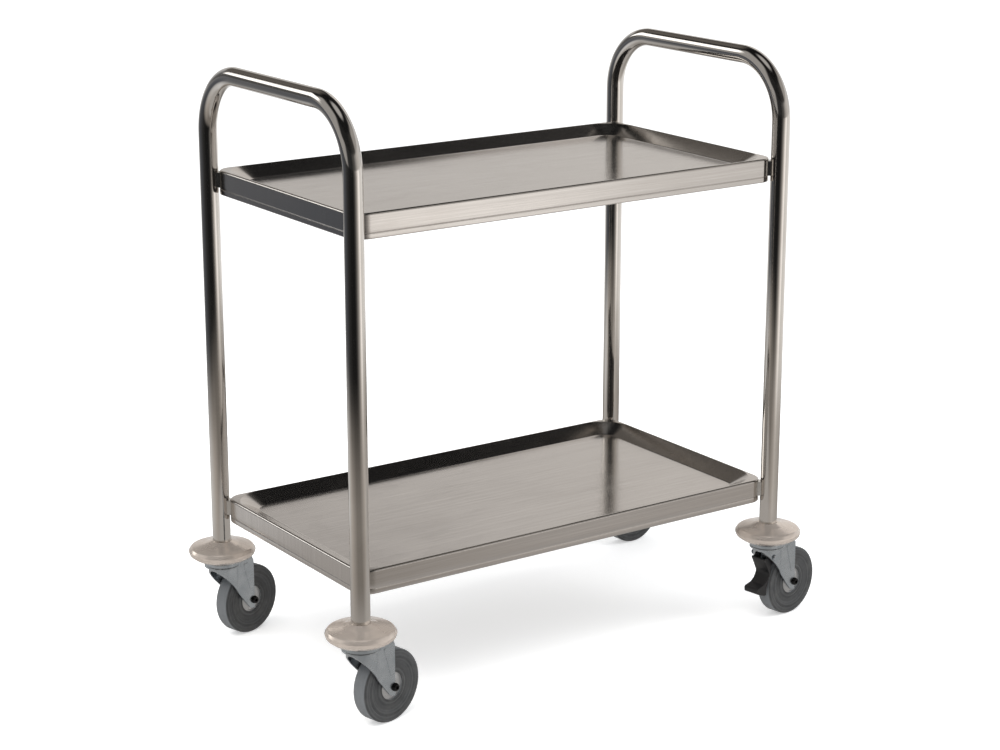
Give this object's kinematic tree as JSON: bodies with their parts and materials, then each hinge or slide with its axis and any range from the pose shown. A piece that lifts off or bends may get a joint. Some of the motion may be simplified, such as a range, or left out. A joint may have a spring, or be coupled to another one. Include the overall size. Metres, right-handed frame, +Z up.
{
  "type": "two-tier instrument cart",
  "caption": "Stainless two-tier instrument cart: tubular end hoops carry two pressed trays above swivel casters with round bumpers and foot brakes.",
  "frame": {"origin": "on the floor, midway between the four leg axes", "axes": "+Z up, +X along the long side to the right end, where the braked casters are, +Y from the front long side to the rear one"},
  "size_m": [0.8258, 0.4702, 0.825],
  "materials": {
    "polished_tube": "polished stainless steel tube",
    "tray_sheet": "bright rolled stainless sheet",
    "zinc_plate": "bright zinc plating",
    "bearing_steel": "ground steel",
    "dark_fastener": "blackened steel",
    "hub_metal": "plated hub, satin",
    "tyre_rubber": "dark grey moulded rubber",
    "bumper_plastic": "light grey moulded plastic",
    "black_plastic": "black moulded nylon",
    "spacer_metal": "turned stainless spacer",
    "bearing_plastic": "natural acetal"
  },
  "bodies": {
    "cart_frame": {"left_hoop_frame": "polished_tube", "right_hoop_frame": "polished_tube", "upper_tray": "tray_sheet", "lower_tray": "tray_sheet", "upper_corner_gussets": "tray_sheet", "lower_corner_gussets": "tray_sheet", "upper_saddle_spacers": "spacer_metal", "lower_saddle_spacers": "spacer_metal", "tray_bolts": "zinc_plate", "tray_bolt_washers": "zinc_plate", "tube_thread_inserts": "zinc_plate", "leg_end_plugs": "zinc_plate", "caster_kingpins": "zinc_plate", "kingpin_lock_nuts": "zinc_plate", "kingpin_thrust_washers": "zinc_plate", "swivel_bearing_caps": "zinc_plate", "front_left_bumper": "bumper_plastic", "front_right_bumper": "bumper_plastic", "rear_left_bumper": "bumper_plastic", "rear_right_bumper": "bumper_plastic"},
    "front_left_caster": {"front_left_fork": "zinc_plate", "front_left_swivel_balls": "bearing_steel", "front_left_axle_sleeve": "bearing_steel", "front_left_axle_bolt": "dark_fastener", "front_left_axle_nut": "dark_fastener"},
    "front_left_wheel": {"front_left_tyre": "tyre_rubber", "front_left_wheel_hub": "hub_metal", "front_left_wheel_bushes": "bearing_plastic"},
    "front_right_caster": {"front_right_fork": "zinc_plate", "front_right_swivel_balls": "bearing_steel", "front_right_axle_sleeve": "bearing_steel", "front_right_axle_bolt": "dark_fastener", "front_right_axle_nut": "dark_fastener", "front_right_brake_rivets": "zinc_plate"},
    "front_right_wheel": {"front_right_tyre": "tyre_rubber", "front_right_wheel_hub": "hub_metal", "front_right_wheel_bushes": "bearing_plastic"},
    "front_right_brake": {"front_right_brake_lever": "black_plastic", "front_right_brake_pad": "tyre_rubber"},
    "rear_left_caster": {"rear_left_fork": "zinc_plate", "rear_left_swivel_balls": "bearing_steel", "rear_left_axle_sleeve": "bearing_steel", "rear_left_axle_bolt": "dark_fastener", "rear_left_axle_nut": "dark_fastener"},
    "rear_left_wheel": {"rear_left_tyre": "tyre_rubber", "rear_left_wheel_hub": "hub_metal", "rear_left_wheel_bushes": "bearing_plastic"},
    "rear_right_caster": {"rear_right_fork": "zinc_plate", "rear_right_swivel_balls": "bearing_steel", "rear_right_axle_sleeve": "bearing_steel", "rear_right_axle_bolt": "dark_fastener", "rear_right_axle_nut": "dark_fastener", "rear_right_brake_rivets": "zinc_plate"},
    "rear_right_wheel": {"rear_right_tyre": "tyre_rubber", "rear_right_wheel_hub": "hub_metal", "rear_right_wheel_bushes": "bearing_plastic"},
    "rear_right_brake": {"rear_right_brake_lever": "black_plastic", "rear_right_brake_pad": "tyre_rubber"}
  },
  "joints": [
    {"name": "front_left_swivel", "type": "hinge", "parent": "cart_frame", "child": "front_left_caster", "pos_m": [-0.3423, -0.188, 0.11], "axis": [0, 0, 1], "continuous": true},
    {"name": "front_left_roll", "type": "hinge", "parent": "front_left_caster", "child": "front_left_wheel", "pos_m": [-0.29943, -0.1781, 0.05], "axis": [0.225, -0.9744, 0], "continuous": true},
    {"name": "front_right_swivel", "type": "hinge", "parent": "cart_frame", "child": "front_right_caster", "pos_m": [0.3423, -0.188, 0.11], "axis": [0, 0, 1], "continuous": true},
    {"name": "front_right_roll", "type": "hinge", "parent": "front_right_caster", "child": "front_right_wheel", "pos_m": [0.38576, -0.18112, 0.05], "axis": [0.1564, -0.9877, 0], "continuous": true},
    {"name": "front_right_brake_press", "type": "hinge", "parent": "front_right_caster", "child": "front_right_brake", "pos_m": [0.33637, -0.18894, 0.0995], "axis": [0.1564, -0.9877, 0], "range_deg": [0, 6.5]},
    {"name": "rear_left_swivel", "type": "hinge", "parent": "cart_frame", "child": "rear_left_caster", "pos_m": [-0.3423, 0.188, 0.11], "axis": [0, 0, 1], "continuous": true},
    {"name": "rear_left_roll", "type": "hinge", "parent": "rear_left_caster", "child": "rear_left_wheel", "pos_m": [-0.3, 0.20013, 0.05], "axis": [0.2756, -0.9613, 0], "continuous": true},
    {"name": "rear_right_swivel", "type": "hinge", "parent": "cart_frame", "child": "rear_right_caster", "pos_m": [0.3423, 0.188, 0.11], "axis": [0, 0, 1], "continuous": true},
    {"name": "rear_right_roll", "type": "hinge", "parent": "rear_right_caster", "child": "rear_right_wheel", "pos_m": [0.38619, 0.19107, 0.05], "axis": [0.0698, -0.9976, 0], "continuous": true},
    {"name": "rear_right_brake_press", "type": "hinge", "parent": "rear_right_caster", "child": "rear_right_brake", "pos_m": [0.33631, 0.18758, 0.0995], "axis": [0.0698, -0.9976, 0], "range_deg": [0, 6.5]}
  ]
}
